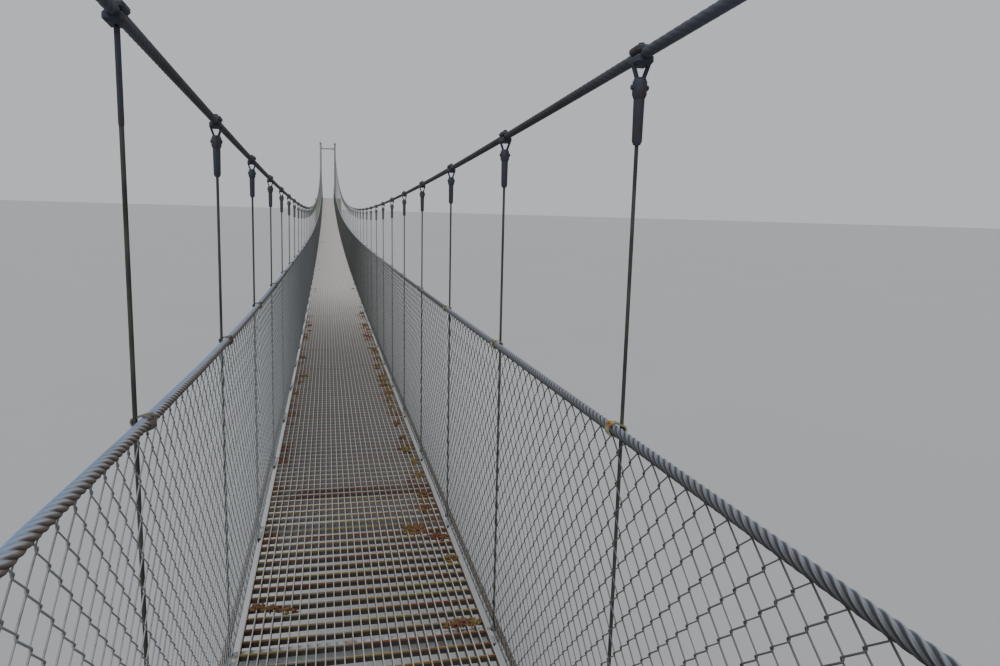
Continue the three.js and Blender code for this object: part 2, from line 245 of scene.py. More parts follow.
class Steelwork:
    """Steel parts built up in one mesh from blocks, turned parts, plates, rods and bands."""

    def __init__(self):
        self.form = bmesh.new()

    def take(self, part, place):
        part.transform(place)
        part.normal_update()
        bmesh.ops.recalc_face_normals(part, faces=part.faces)
        mesh = bpy.data.meshes.new("part")
        part.to_mesh(mesh)
        part.free()
        self.form.from_mesh(mesh)
        bpy.data.meshes.remove(mesh)

    def skin(self, part, rings, place):
        """Joins each ring of points to the next one with faces."""
        for lower, upper in zip(rings, rings[1:]):
            for i in range(len(lower)):
                j = (i + 1) % len(lower)
                part.faces.new(list(dict.fromkeys((lower[i], lower[j], upper[j], upper[i]))))
        self.take(part, place)

    def block(self, size, place, chamfer=0.0):
        part = bmesh.new()
        bmesh.ops.create_cube(part, size=1, matrix=Matrix.Diagonal((*size, 1)))
        if chamfer:
            bmesh.ops.bevel(part, geom=part.edges, offset=chamfer, segments=1, profile=0.5, affect="EDGES")
        self.take(part, place if isinstance(place, Matrix) else Matrix.Translation(place))

    def turned(self, profile, sides, place=origin):
        """A solid of revolution about Z from pairs of radius and height, closed where a radius is 0."""
        part = bmesh.new()
        angles = [2 * math.pi * i / sides for i in range(sides)]
        rings = []
        for radius, height in profile:
            if radius:
                spots = [(radius * math.cos(a), radius * math.sin(a), height) for a in angles]
                rings.append([part.verts.new(spot) for spot in spots])
            else:
                rings.append([part.verts.new((0, 0, height))] * sides)
        self.skin(part, rings, place)

    def disc(self, radius, low, high, sides, place=origin):
        """A nut, washer or head about Z between two heights."""
        self.turned([(0, low), (radius, low), (radius, high), (0, high)], sides, place)

    def plate(self, outline, thickness, place):
        """A flat plate from its outline in XY, centred on Z."""
        part = bmesh.new()
        face = part.faces.new([part.verts.new((x, y, -thickness / 2)) for x, y in outline])
        raised = bmesh.ops.extrude_face_region(part, geom=[face])["geom"]
        tops = [item for item in raised if isinstance(item, bmesh.types.BMVert)]
        bmesh.ops.translate(part, verts=tops, vec=(0, 0, thickness))
        self.take(part, place)

    def rod(self, middle, reach, radius, sides):
        """A straight round rod along X, from that reach before its middle to the same past it."""
        part = bmesh.new()
        round_end = {"cap_ends": True, "segments": sides, "radius1": radius, "radius2": radius}
        bmesh.ops.create_cone(part, depth=2 * reach, **round_end)
        self.take(part, pointing(middle, (1, 0, 0)))

    def hoop(self, outline, thickness, width):
        """A flat band bent round an outline in XZ that runs anticlockwise, with its width along Y."""
        part = bmesh.new()
        rings = []
        for i, point in enumerate(outline):
            ahead = outline[(i + 1) % len(outline)] - outline[i - 1]
            outer = point + Vector((ahead.y, -ahead.x)).normalized() * thickness
            corners = [(point, -1), (point, 1), (outer, 1), (outer, -1)]
            rings.append([part.verts.new((spot.x, edge * width / 2, spot.y)) for spot, edge in corners])
        self.skin(part, [*rings, rings[0]], origin)

    def bolt(self, place, across_flats):
        """A washer, a hexagon nut and the end of the bolt, standing up along Z."""
        flat = across_flats / 2
        self.disc(flat * 1.4, 0, flat * 0.25, 12, place)
        nut = [(0, flat * 0.2), (flat * 1.1, flat * 0.2), (flat * 1.1, flat), (flat * 0.8, flat * 1.2)]
        self.turned([*nut, (0, flat * 1.2)], 6, place)
        self.turned([(0, flat), (flat * 0.5, flat), (flat * 0.5, flat * 1.9), (0, flat * 1.95)], 8, place)

    def bolts(self, face, spread, across_flats):
        """Four bolts on a square about a frame's Z axis, that far out along X and Y."""
        for x in (-spread, spread):
            for y in (-spread, spread):
                self.bolt(face @ Matrix.Translation((x, y, 0)), across_flats)

    def mesh(self):
        mesh = bpy.data.meshes.new("steelwork")
        self.form.to_mesh(mesh)
        self.form.free()
        return mesh

    def show(self, name, finish, nodes=()):
        shown(name, self.mesh(), finish, nodes, smooth=35)


galvanised_finish = galvanised()
half_span = real(57600)
tower_spread = real(650)
leg_radius = real(84)
plate_size = real(260)
plate_thickness = real(20)
rail_heights = {1: real(1145), -1: real(1160)}
left_rail_rise = real(55)
left_rise_start = real(12000)
left_rise_length = real(3000)
lug_size = real(60)
beam_drop = real(450)
deck_sag = real(2550)
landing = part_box("abutment_far")[1].z
leg_foot, leg_top = (corner.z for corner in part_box("tower_leg_far_right"))
deck_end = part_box("deck_4")[1].y
middle_deck = landing - deck_sag * (deck_end / half_span) ** 2
rail_end = half_span - lug_size - real(6)


def deck_top(y):
    return middle_deck + deck_sag * (y / half_span) ** 2


def rail_height(side, y):
    """The handrail's height above the deck. The left one curves up to a higher end on the near side."""
    share = min(max((-y - left_rise_start) / left_rise_length, 0), 1)
    return rail_heights[side] + (left_rail_rise * share ** 2 if side == -1 else 0)


def tower_leg(side, end, node):
    leg = Steelwork()
    centre = Vector((side * tower_spread, end * half_span, 0))
    foot = leg_foot + plate_thickness
    head = leg_top - plate_thickness
    weld = real(9)
    tube = [
        (0, foot), (leg_radius + weld, foot), (leg_radius, foot + weld),
        (leg_radius, head - weld), (leg_radius + weld, head), (0, head),
    ]
    leg.turned(tube, 48, Matrix.Translation(centre))
    for height in (leg_foot + plate_thickness / 2, leg_top - plate_thickness / 2):
        leg.block((plate_size, plate_size, plate_thickness), centre + Vector((0, 0, height)), real(3))
    inner = leg_radius - real(3)
    outer = plate_size / 2 - real(12)
    gusset = [(inner, 0), (outer, 0), (outer, real(30)), (inner, real(190))]
    upright = Matrix.Rotation(math.radians(90), 4, "X")
    for quarter in range(4):
        turn = Matrix.Rotation(math.radians(90 * quarter), 4, "Z") @ upright
        leg.plate(gusset, real(12), Matrix.Translation(centre + Vector((0, 0, foot))) @ turn)
    corner = plate_size / 2 - real(34)
    leg.bolts(Matrix.Translation(centre + Vector((0, 0, foot))), corner, real(36))
    leg.bolts(pointing(centre + Vector((0, 0, head)), (0, 0, -1)), corner, real(24))
    tip = min(abs(corner.x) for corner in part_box(node))
    root = tower_spread - leg_radius * 0.6
    height = deck_top(rail_end) + rail_height(side, end * rail_end)
    lug = Vector((side * (tip + root) / 2, end * (half_span - lug_size / 2), height))
    leg.block((root - tip, lug_size, lug_size), lug, real(7))
    rope_end = Vector((side * (tip + lug_size / 2), end * half_span, height))
    leg.bolt(pointing(rope_end, (0, end, 0)), real(36))
    leg.show(f"{node}_steel", galvanised_finish, [node])


def tower_beam(end, node):
    beam = Steelwork()
    length = 2 * (tower_spread - leg_radius) - real(6)
    centre = Vector((0, end * half_span, leg_top - beam_drop))
    beam.block((length, real(120), real(120)), centre, real(12))
    for side in (-1, 1):
        flange = centre + Vector((side * (length / 2 - real(8)), 0, 0))
        beam.block((real(14), real(190), real(190)), flange, real(2))
        inner_face = pointing(flange - Vector((side * real(7), 0, 0)), (-side, 0, 0))
        beam.bolts(inner_face, real(76), real(19))
    beam.show(f"{node}_steel", galvanised_finish, [node])


sides = {"right": 1, "left": -1}
for bank, end in banks.items():
    for hand, side in sides.items():
        tower_leg(side, end, f"tower_leg_{bank}_{hand}")
    tower_beam(end, f"tower_beam_{bank}")


# Saddles
# A cast steel cradle on each leg head turns the main cable over the tower. Two cheeks keep the rope in its
# groove, ribs stiffen them, and keeper bolts cross over the rope at both ends.
def dark_steel():
    finish = Finish("dark_weathered_steel", "dark_steel", Metallic=0.55)
    cloud = finish.speckle(90, 6)
    fleck = finish.speckle(14, 4)
    rust = (cloud * 0.7 + fleck * 0.4).step(0.5, 0.66)
    colour = finish.mix(tint(62, 60, 58), (tint(40, 38, 37), fleck), (tint(92, 58, 38), rust * 0.7))
    return finish.paint(colour, 0.5 + rust * 0.35, rust * 0.6 + fleck * 0.4, real(0.8))


def reals(*millimetres):
    """Several real lengths together, such as a size or a place."""
    return tuple(real(length) for length in millimetres)


dark_finish = dark_steel()
saddle_length = real(420)
cheek_thickness = real(14)
cable_radius = real(12)


def saddle(node):
    cradle = Steelwork()
    body = bmesh.new()
    body.from_mesh(chamfered(node, real(3), 1))
    cradle.take(body, origin)
    low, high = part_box(node)
    middle = (low + high) / 2
    for side in (-1, 1):
        for i in range(5):
            y = middle.y + (i - 2) * saddle_length * 0.2
            outside = middle.x + side * (cable_radius + cheek_thickness + real(13))
            cradle.block(reals(22, 12, 92), Vector((outside, y, low.z + real(48))), real(2))
    for y in (-1, 1):
        keeper = Vector((middle.x, middle.y + y * real(185), low.z + real(100)))
        cradle.rod(keeper, real(34), real(6), 8)
        for x in (-1, 1):
            cradle.bolt(pointing(keeper + Vector((x * real(32), 0, 0)), (x, 0, 0)), real(14))
    cradle.show(f"{node}_casting", dark_finish, [node])


for bank in banks:
    for hand in sides:
        saddle(f"saddle_{bank}_{hand}")


# Main cables
# Two 24 mm wire ropes of six strands run from anchor block to anchor block, over the saddles. They sag in a
# parabola, close together at mid-span and wider apart at the towers. They are dark, with painted shade in
# their grooves, a painted bluish sheen at the near end and painted paleness far off.
class Recipe(Tree):
    """A Geometry Nodes tree whose sizes are named inputs."""

    def __init__(self, name, sizes):
        super().__init__(bpy.data.node_groups.new(name, "GeometryNodeTree"))
        face = self.tree.interface
        face.new_socket("Geometry", in_out="OUTPUT", socket_type="NodeSocketGeometry")
        for label, kind in {"Start": "Geometry", **sizes, "Material": "Material"}.items():
            face.new_socket(label, in_out="INPUT", socket_type=f"NodeSocket{kind}")
        self.entry = self.tree.nodes.new("NodeGroupInput")
        self.exit = self.tree.nodes.new("NodeGroupOutput")

    def given(self, label):
        return Flow(self, self.entry.outputs[label])

    def carried(self, name):
        """A vector that the starting points carry."""
        return self.node("GeometryNodeInputNamedAttribute", [name], data_type="FLOAT_VECTOR")

    def set_out(self, pattern, **sockets):
        """Sets a copy of a pattern at each starting point."""
        sockets = {"Points": self.given("Start"), "Instance": pattern, **sockets}
        return self.node("GeometryNodeInstanceOnPoints", sockets)

    def keep(self, geometry, name, value):
        """Stores a number at every point, for the material to read."""
        sockets = {"Geometry": geometry, "Name": name, "Value": value}
        return self.node("GeometryNodeStoreNamedAttribute", sockets, data_type="FLOAT", domain="POINT")

    def close(self, geometry):
        """Ends the tree: the instances become mesh, and the mesh gets its material."""
        whole = self.node("GeometryNodeRealizeInstances", [geometry])
        done = {"Geometry": whole, "Material": self.given("Material")}
        done = self.node("GeometryNodeSetMaterial", done)
        self.tree.links.new(done.socket, self.exit.inputs[0])
        return self

    def show(self, name, start, sizes, finish, nodes=(), smooth=None):
        """Runs the recipe on a starting mesh and shows the result, a plain mesh, as a piece."""
        host = bpy.data.objects.new(self.tree.name, start)
        bpy.context.scene.collection.objects.link(host)
        modifier = host.modifiers.new(self.tree.name, "NODES")
        modifier.node_group = self.tree
        values = {**sizes, "Material": finish.material}
        for item in self.tree.interface.items_tree:
            if item.name in values:
                modifier[item.identifier] = values[item.name]
        evaluated = host.evaluated_get(bpy.context.evaluated_depsgraph_get())
        grown = bpy.data.meshes.new_from_object(evaluated)
        host.modifiers.clear()
        bpy.data.objects.remove(host)
        shown(name, grown, finish, nodes, smooth)


def laid_rope():
    """Sweeps a section with a lobe for each strand along a line, with a right-hand turn in a lay length."""
    sizes = {"Radius": "Float", "Groove": "Float", "Lay": "Float", "Steps": "Float"}
    recipe = Recipe("laid_rope", {**sizes, "Strands": "Int", "Corners": "Int"})
    lay = recipe.given("Lay")
    corners = recipe.given("Corners")
    line = recipe.node("GeometryNodeMeshToCurve", [recipe.given("Start")])
    resampled = {"Curve": line, "Length": lay / recipe.given("Steps")}
    line = recipe.node("GeometryNodeResampleCurve", resampled, mode="LENGTH")
    tilt = recipe.node("GeometryNodeSplineParameter", output="Length") * (2 * math.pi) / lay
    line = recipe.node("GeometryNodeSetCurveTilt", {"Curve": line, "Tilt": tilt})
    ring = {"Resolution": recipe.given("Strands") * corners, "Radius": 1.0}
    ring = recipe.node("GeometryNodeCurvePrimitiveCircle", ring)
    share = recipe.node("GeometryNodeInputIndex") % corners / corners
    crown = recipe.node("ShaderNodeMath", [share * math.pi], operation="SINE")
    ring = recipe.keep(ring, "crown", crown)
    place = recipe.node("GeometryNodeInputPosition")
    reach = recipe.given("Radius") * (1 - (1 - crown) * recipe.given("Groove"))
    corner = recipe.node("ShaderNodeVectorMath", {"Vector": place, "Scale": reach}, operation="SCALE")
    ring = recipe.node("GeometryNodeSetPosition", {"Geometry": ring, "Position": corner})
    swept = {"Curve": line, "Profile Curve": ring, "Fill Caps": True}
    rope = recipe.node("GeometryNodeCurveToMesh", swept)
    # The rope finishes read crown to paint shade in the grooves, and read upward and outward to paint light
    # and shade by the way the surface faces.
    facing = recipe.node("GeometryNodeInputNormal", output="Normal")
    side = recipe.node("ShaderNodeMath", [recipe.axis(place, "X")], operation="SIGN")
    rope = recipe.keep(rope, "upward", recipe.axis(facing, "Z"))
    rope = recipe.keep(rope, "outward", recipe.axis(facing, "X") * side)
    return recipe.close(recipe.node("GeometryNodeSetShadeSmooth", [rope]))


def lines(paths):
    """Separate lines, each through its own points, as one mesh."""
    points = []
    edges = []
    for line in paths:
        edges += [(i, i + 1) for i in range(len(points), len(points) + len(line) - 1)]
        points += line
    mesh = bpy.data.meshes.new("lines")
    mesh.from_pydata(points, edges, [])
    return mesh


def main_rope():
    finish = Finish("dark_wire_rope", "main_rope", Metallic=0.3)
    crown = finish.attribute("crown")
    cloud = finish.speckle(240, 6)
    fleck = finish.speckle(9, 3)
    colour = finish.mix(
        tint(34, 34, 36),
        # Painted shade in the strand grooves: the crowns are lighter than the grooves.
        (tint(54, 55, 60), crown.step(0.1, 0.9)),
        (tint(48, 42, 38), cloud.step(0.5, 0.7) * 0.5),
        # Painted bluish sheen on the near end of the cables.
        (tint(94, 102, 116), finish.fade("Y", -13600, -15200) * 0.6),
        # Painted paleness far off.
        (tint(180, 184, 188), finish.fade("Y", -3000, 5000) * 0.85),
        (tint(34, 32, 30), fleck.step(0.5, 0.8) * 0.4),
    )
    return finish.paint(colour, 0.55 + cloud * 0.3, fleck * 0.6 + crown * 0.3, real(1))


rope_recipe = laid_rope()
main_rope_finish = main_rope()
bay = real(1200)
hanger_count = 95
cable_sag = real(5940)
cable_above_deck = real(1730)
cable_spread_middle = real(486)
saddle_radius = real(600)
backstay_slope = 0.6
anchor_eye = real(1000)
fitting_length = real(600)


def cable_height(y):
    return middle_deck + cable_above_deck + cable_sag * (y / half_span) ** 2


def cable_spread(y):
    return cable_spread_middle + (tower_spread - cable_spread_middle) * (y / half_span) ** 2


span_angle = math.atan(2 * cable_sag / half_span)
back_angle = math.atan(backstay_slope)
span_leave = half_span - saddle_radius * math.sin(span_angle)
saddle_top = cable_height(span_leave) + saddle_radius * (1 - math.cos(span_angle))


def on_saddle(angle):
    """Where a cable lies on the far right saddle, once it slopes down by that angle."""
    drop = saddle_radius * (1 - math.cos(angle))
    return Vector((tower_spread, half_span + saddle_radius * math.sin(angle), saddle_top - drop))


back_direction = Vector((0, math.cos(back_angle), -math.sin(back_angle)))
backstay = (on_saddle(back_angle).z - anchor_eye) / math.sin(back_angle)
anchor_face = on_saddle(back_angle) + back_direction * backstay


def cable_line(side):
    """A cable's points from the near anchorage to the far one."""
    span_steps = 96
    saddle_steps = 12
    turn = span_angle + back_angle
    reaches = [span_leave * i / span_steps for i in range(span_steps + 1)]
    half = [Vector((cable_spread(y), y, cable_height(y))) for y in reaches]
    half += [on_saddle(-span_angle + turn * i / saddle_steps) for i in range(1, saddle_steps + 1)]
    half.append(on_saddle(back_angle) + back_direction * (backstay - fitting_length))
    other = [Vector((point.x, -point.y, point.z)) for point in reversed(half[1:])]
    return [(side * point.x, point.y, point.z) for point in other + half]


close_start = -14 * bay
close_end = -8 * bay
cable_sizes = {"Radius": cable_radius, "Strands": 6, "Groove": 0.06}
far_cable = {**cable_sizes, "Corners": 2, "Lay": real(1600), "Steps": 18.0}
close_cable = {**cable_sizes, "Corners": 3, "Lay": real(190), "Steps": 15.0}
for hand, side in sides.items():
    line = cable_line(side)
    close = [point for point in line if close_start < point[1] < close_end]
    behind = [point for point in line if point[1] <= close[0][1]]
    ahead = [point for point in line if point[1] >= close[-1][1]]
    node = f"main_cable_{hand}"
    rope_recipe.show(f"{node}_rope", lines([behind, ahead]), far_cable, main_rope_finish, [node])
    rope_recipe.show(f"{node}_strands", lines([close]), close_cable, main_rope_finish)


# Anchorages
# Each cable ends in a poured socket. A threaded rod with two lock nuts joins the socket to a bolted plate
# on the anchor block's sloping face, and takes up the slack.
def profile(*pairs):
    """The pairs of radius and height of a turned part, in real millimetres."""
    return [reals(*pair) for pair in pairs]


def anchorage(side, end, node):
    fitting = Steelwork()
    place = Vector((side * anchor_face.x, end * anchor_face.y, anchor_face.z))
    outward = Vector((0, -end * back_direction.y, -back_direction.z))
    face = pointing(place + outward * real(3), outward)
    middle = Matrix.Translation((0, 0, plate_thickness / 2))
    fitting.block((real(300), real(300), plate_thickness), face @ middle, real(3))
    fitting.bolts(face @ Matrix.Translation((0, 0, plate_thickness)), real(112), real(36))
    for nut in (22, 296):
        fitting.disc(real(38), real(nut), real(nut + 36), 6, face)
    socket = profile(
        (0, 20), (24, 20), (24, 338), (38, 344), (40, 352), (40, 420),
        (36, 430), (36, 470), (19, 585), (16, 600), (0, 600),
    )
    fitting.turned(socket, 24, face)
    fitting.show(f"{node}_fitting", dark_finish, [node])


for bank, end in banks.items():
    for hand, side in sides.items():
        anchorage(side, end, f"anchorage_{bank}_{hand}")


# Transoms
# A galvanised box-section beam lies under the deck at every pair of hangers. Its capped ends stick out past
# the grating, and the hanger rods pass down through them.
def weathered_transom():
    finish = Finish("galvanised_transom", "galvanised_steel", Metallic=0.1)
    fleck = finish.speckle(22, 4)
    rust = finish.speckle(90, 7).step(0.56, 0.66)
    colour = finish.mix(
        tint(186, 192, 196),
        (tint(150, 153, 154), finish.speckle(160, 6)),
        (tint(126, 88, 62), rust * 0.6),
    )
    return finish.paint(colour, 0.6 + fleck * 0.3, rust * 0.7 + fleck * 0.5, real(1.2))


def fixed_copies():
    """Sets a copy of a pattern at each point, with its Z along 'up' and its Y along 'ahead'."""
    recipe = Recipe("fixed_copies", {"Pattern": "Object"})
    turn = recipe.node("FunctionNodeAlignRotationToVector", {"Vector": recipe.carried("up")}, axis="Z")
    sockets = {"Rotation": turn, "Vector": recipe.carried("ahead")}
    turn = recipe.node("FunctionNodeAlignRotationToVector", sockets, axis="Y", pivot_axis="Z")
    pattern = recipe.node("GeometryNodeObjectInfo", [recipe.given("Pattern")], "Geometry")
    return recipe.close(recipe.set_out(pattern, Rotation=turn))


def places(spots):
    """Points from places with the directions that a copy's Z and Y take there."""
    mesh = bpy.data.meshes.new("places")
    mesh.from_pydata([spot[0] for spot in spots], [], [])
    for name, index in (("up", 1), ("ahead", 2)):
        values = [number for spot in spots for number in spot[index]]
        mesh.attributes.new(name, "FLOAT_VECTOR", "POINT").data.foreach_set("vector", values)
    return mesh


def repeated(name, pattern, spots, finish):
    """Copies of a small steel part's mesh at each of its places, as one piece."""
    host = bpy.data.objects.new("pattern", pattern)
    copies_recipe.show(name, places(spots), {"Pattern": host}, finish, smooth=35)
    bpy.data.objects.remove(host)


def ahead_on(sag, y):
    """The direction along the bridge of a deck or a cable with that sag."""
    return Vector((0, 1, 2 * sag * y / half_span ** 2)).normalized()


def above(direction):
    """The upward direction square to one that lies along the bridge."""
    return Vector((0, -direction.z, direction.y))


transom_finish = weathered_transom()
copies_recipe = fixed_copies()
hanger_places = [(i - hanger_count // 2) * bay for i in range(hanger_count)]
grating_depth = real(30)
transom_width = real(60)
transom_depth = real(45)
transom_length = real(1080)
transom = Steelwork()
transom.block((transom_length - real(8), transom_width, transom_depth), (0, 0, -transom_depth / 2), real(5))
for side in (-1, 1):
    cap = (real(5), transom_width - real(6), transom_depth - real(6))
    transom.block(cap, (side * (transom_length / 2 - real(2.5)), 0, -transom_depth / 2), real(1))
transom = transom.mesh()
for number in range(1, 5):
    low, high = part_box(f"deck_{number}")
    spots = [
        ((0, y, deck_top(y) - grating_depth), (0, 0, 1), (0, 1, 0))
        for y in hanger_places if low.y < y < high.y
    ]
    repeated(f"transoms_{number}", transom, spots, transom_finish)

end_transoms = Steelwork()
for end in banks.values():
    y = end * (deck_end - transom_width / 2 - real(3))
    place = (0, y, deck_top(y) - grating_depth - transom_depth / 2)
    end_transoms.block((real(920), transom_width, transom_depth), place, real(5))
end_transoms.show("end_transoms", transom_finish)


# Deck
# Welded steel bar grating lies on the transoms in panels a bay long: 28 upright bearing bars at 35 mm and
# cross bars every 86 mm. It is galvanised, with paler worn top edges over sides darkened partly by dirt and
# partly as painted shade, rust along its edges, a rusty yellow film on its nearest cross bars, painted dark
# shade on the sides of those nearest cross bars, and one rusty seam across it. Far off it is painted paler.
deck_fade = (-8000, 2000)
seam_before_middle = real(11600)


def bar_steel():
    finish = Finish("grating_bars", "galvanised_steel", Metallic=0.2)
    far = finish.fade("Y", *deck_fade)
    fleck = finish.speckle(30, 5)
    rust = finish.speckle(140, 7).step(0.6, 0.7)
    seam = abs(finish.axis(finish.place, "Y") + seam_before_middle) + fleck * real(60)
    top = finish.mix(
        tint(176, 174, 166),
        (tint(138, 136, 128), finish.speckle(500, 6)),
        # Painted paleness far off.
        (tint(226, 222, 218), far * 0.8),
        (tint(124, 112, 94), fleck.step(0.58, 0.76) * (0.4 - far * 0.25)),
        (tint(132, 92, 60), rust * (0.4 - far * 0.3)),
        (tint(96, 70, 56), seam.step(real(150), real(90)) * 0.4),
    )
    colour = finish.mix(
        # The bar sides are dark, partly dirt and partly painted shade, under the pale worn tops.
        tint(66, 63, 58),
        (tint(96, 92, 86), fleck),
        # Painted paleness far off.
        (tint(196, 192, 188), far),
        (top, finish.attribute("rise").step(0.88, 0.97)),
    )
    return finish.paint(colour, 0.45 + fleck * 0.3, fleck + rust * 0.5, real(0.8))


def crossbar_steel():
    finish = Finish("rusty_crossbars", "galvanised_steel", Metallic=0.1)
    across = finish.axis(finish.place, "X")
    along = finish.axis(finish.place, "Y")
    far = finish.fade("Y", *deck_fade)
    fleck = finish.speckle(18, 5)
    row = finish.speckle(100, 3, (9, 1, 1))
    # Painted dark shade on the sides of the nearest cross bars.
    darkening = (along + finish.speckle(900) * real(1200)).step(real(-11100), real(-12100))
    edge = (abs(across + real(20)) + finish.speckle(150, 5) * real(300)).step(real(480), real(580))
    edge = edge * finish.speckle(240, 5).step(0.45, 0.56) * finish.fade("Y", -1500, -5000)
    seam = abs(along + seam_before_middle) + finish.speckle(200) * real(120)
    seam = seam.step(real(180), real(120)) * finish.fade("X", -480, -250)
    rust = finish.mix(tint(112, 66, 50), (tint(122, 104, 62), finish.speckle(70, 4).step(0.45, 0.6)))
    body = finish.mix(
        tint(124, 120, 118),
        (tint(104, 100, 98), fleck),
        # Painted paleness far off.
        (tint(208, 203, 198), far),
        (finish.mix(rust, (tint(76, 58, 48), fleck)), edge * 0.85),
        # Painted shade: nearly black on the sides of the nearest cross bars.
        (finish.mix(tint(34, 31, 32), (tint(60, 48, 40), fleck)), darkening * 0.9),
        (tint(66, 46, 40), seam * 0.8),
    )
    film = finish.mix(tint(126, 112, 58), (tint(116, 70, 44), row.step(0.42, 0.6)))
    film = finish.mix(tint(132, 126, 114), (film, finish.speckle(300, 4).step(0.3, 0.5)))
    top = finish.mix(
        tint(136, 131, 127),
        # Painted paleness far off.
        (tint(208, 202, 196), far),
        (film, finish.fade("Y", -10800, -12000)),
        (tint(124, 84, 64), row.step(0.6, 0.68) * (0.5 - far * 0.45)),
        (rust, edge * 0.85),
        (tint(112, 72, 52), seam * 0.75),
    )
    colour = finish.mix(body, (top, finish.attribute("rise").step(0.66, 0.86)))
    return finish.paint(colour, 0.75 + fleck * 0.2, fleck, real(1.5))


def laid_bars():
    """A row of equal bars, repeated on each panel of the deck."""
    sizes = {"Bar size": "Vector", "Count": "Int", "First": "Vector", "Step": "Vector"}
    recipe = Recipe("laid_bars", sizes)
    size = recipe.given("Bar size")
    height = recipe.axis(recipe.node("GeometryNodeInputPosition"), "Z")
    bar = recipe.node("GeometryNodeMeshCube", [size])
    bar = recipe.keep(bar, "rise", height / recipe.axis(size, "Z") + 0.5)
    labels = {"Count": "Count", "Start Location": "First", "Offset": "Step"}
    row = {socket: recipe.given(label) for socket, label in labels.items()}
    row = recipe.node("GeometryNodeMeshLine", row, mode="OFFSET")
    bars = recipe.node("GeometryNodeInstanceOnPoints", {"Points": row, "Instance": bar})
    turn = recipe.node("FunctionNodeAlignRotationToVector", {"Vector": recipe.carried("up")}, axis="Z")
    return recipe.close(recipe.set_out(bars, Rotation=turn))


bars_recipe = laid_bars()
bar_finish = bar_steel()
crossbar_finish = crossbar_steel()
deck_width = real(940)
bar_count = 28
bar_thickness = real(4.5)
crossbar_count = 14
crossbar_depth = real(26)
panel_length = bay - real(3)
bar_step = (deck_width - bar_thickness) / (bar_count - 1)
crossbar_step = panel_length / crossbar_count
bars = {
    "Bar size": (bar_thickness, panel_length, grating_depth - real(2)),
    "Count": bar_count,
    "First": ((bar_thickness - deck_width) / 2, 0, -grating_depth / 2),
    "Step": (bar_step, 0, 0),
}
crossbars = {
    "Bar size": (deck_width - bar_thickness, real(5), crossbar_depth),
    "Count": crossbar_count,
    "First": (0, (crossbar_step - panel_length) / 2, -crossbar_depth / 2 - real(2)),
    "Step": (0, crossbar_step, 0),
}
panel_places = [(i - hanger_count / 2) * bay for i in range(hanger_count + 1)]
for number in range(1, 5):
    low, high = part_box(f"deck_{number}")
    spots = []
    for y in panel_places:
        if low.y < y < high.y:
            ahead = ahead_on(deck_sag, y)
            spots.append(((0, y, deck_top(y)), above(ahead), ahead))
    bars_recipe.show(f"grating_bars_{number}", places(spots), bars, bar_finish, [f"deck_{number}"])
    bars_recipe.show(f"grating_crossbars_{number}", places(spots), crossbars, crossbar_finish)


# Hangers
# A 9 mm steel rod hangs from each clamp on the main cable and passes through a transom end, with a nut
# above and below. The clamp is bolted round the rope. Two straps, a jaw and a sleeve join it to the rod.
hanger_fade = (-12500, -3000)


def flecked_steel():
    finish = Finish("rusty_fittings", "dark_steel", Metallic=0.3)
    fleck = finish.speckle(10, 4)
    colour = finish.mix(
        tint(56, 60, 72),
        (tint(66, 54, 50), finish.speckle(60, 5).step(0.48, 0.66)),
        (tint(84, 58, 46), fleck.step(0.6, 0.74) * 0.4),
        # Painted paleness far off.
        (tint(128, 132, 126), finish.fade("Y", *hanger_fade) * 0.75),
    )
    return finish.paint(colour, 0.6 + fleck * 0.3, fleck, real(1))


def rod_steel():
    finish = Finish("dark_rods", "dark_steel", Metallic=0.3)
    cloud = finish.speckle(120, 6)
    colour = finish.mix(
        tint(70, 74, 66),
        (tint(50, 50, 44), cloud.step(0.35, 0.65)),
        # Painted paleness far off.
        (tint(134, 140, 130), finish.fade("Y", *hanger_fade) * 0.8),
    )
    return finish.paint(colour, 0.55 + cloud * 0.3)


def drawn_wire():
    """Makes every line of a mesh a round wire or rod."""
    recipe = Recipe("drawn_wire", {"Radius": "Float", "Sides": "Int"})
    line = recipe.node("GeometryNodeMeshToCurve", [recipe.given("Start")])
    ring = {"Resolution": recipe.given("Sides"), "Radius": recipe.given("Radius")}
    ring = recipe.node("GeometryNodeCurvePrimitiveCircle", ring)
    swept = {"Curve": line, "Profile Curve": ring, "Fill Caps": True}
    wire = recipe.node("GeometryNodeCurveToMesh", swept)
    return recipe.close(recipe.node("GeometryNodeSetShadeSmooth", [wire]))


wire_recipe = drawn_wire()
rod_finish = rod_steel()
fitting_finish = flecked_steel()
hanger_foot = real(505)
rod_radius = real(4.5)
rod_sizes = {"Radius": rod_radius, "Sides": 8}


def hanger_spread(y, height):
    share = (height - deck_top(y)) / (cable_height(y) - deck_top(y))
    return hanger_foot + (cable_spread(y) - hanger_foot) * share


def hanger_point(side, y, height):
    return Vector((side * hanger_spread(y, height), y, height))


def lean(side, y):
    """The direction of a hanger rod, upwards."""
    return (hanger_point(side, y, cable_height(y)) - hanger_point(side, y, deck_top(y))).normalized()


clamp = Steelwork()
clamp.block(reals(38, 50, 17), reals(0, 0, 9.5), real(5))
clamp.block(reals(38, 50, 20), reals(0, 0, -11), real(5))
clamp.disc(real(7), real(17.5), real(24.5), 6)

jaw = Steelwork()
for x in (-1, 1):
    strap = Vector(reals(-x * 12, 0, -34))
    jaw.block((real(9), real(6.5), strap.length), pointing(reals(x * 12.5, 0, -31), strap))
jaw.turned(profile((0, -90), (11, -90), (16.5, -78), (16.5, -54), (12, -44), (0, -44)), 8)
jaw.rod(reals(0, 0, -64), real(19), real(5.5), 6)
jaw.turned(profile((0, -180), (8, -180), (11.5, -172), (12.5, -88), (0, -88)), 8)

slim = Steelwork()
slim.turned(profile((0, -195), (4.6, -195), (5.4, -188), (5.4, -24), (0, -18)), 8)

foot = Steelwork()
foot.disc(real(12), 0, real(11), 6)
foot.disc(real(12), -transom_depth - real(20), -transom_depth - real(4), 6)
foot.disc(real(19), -transom_depth - real(4), -transom_depth, 8)

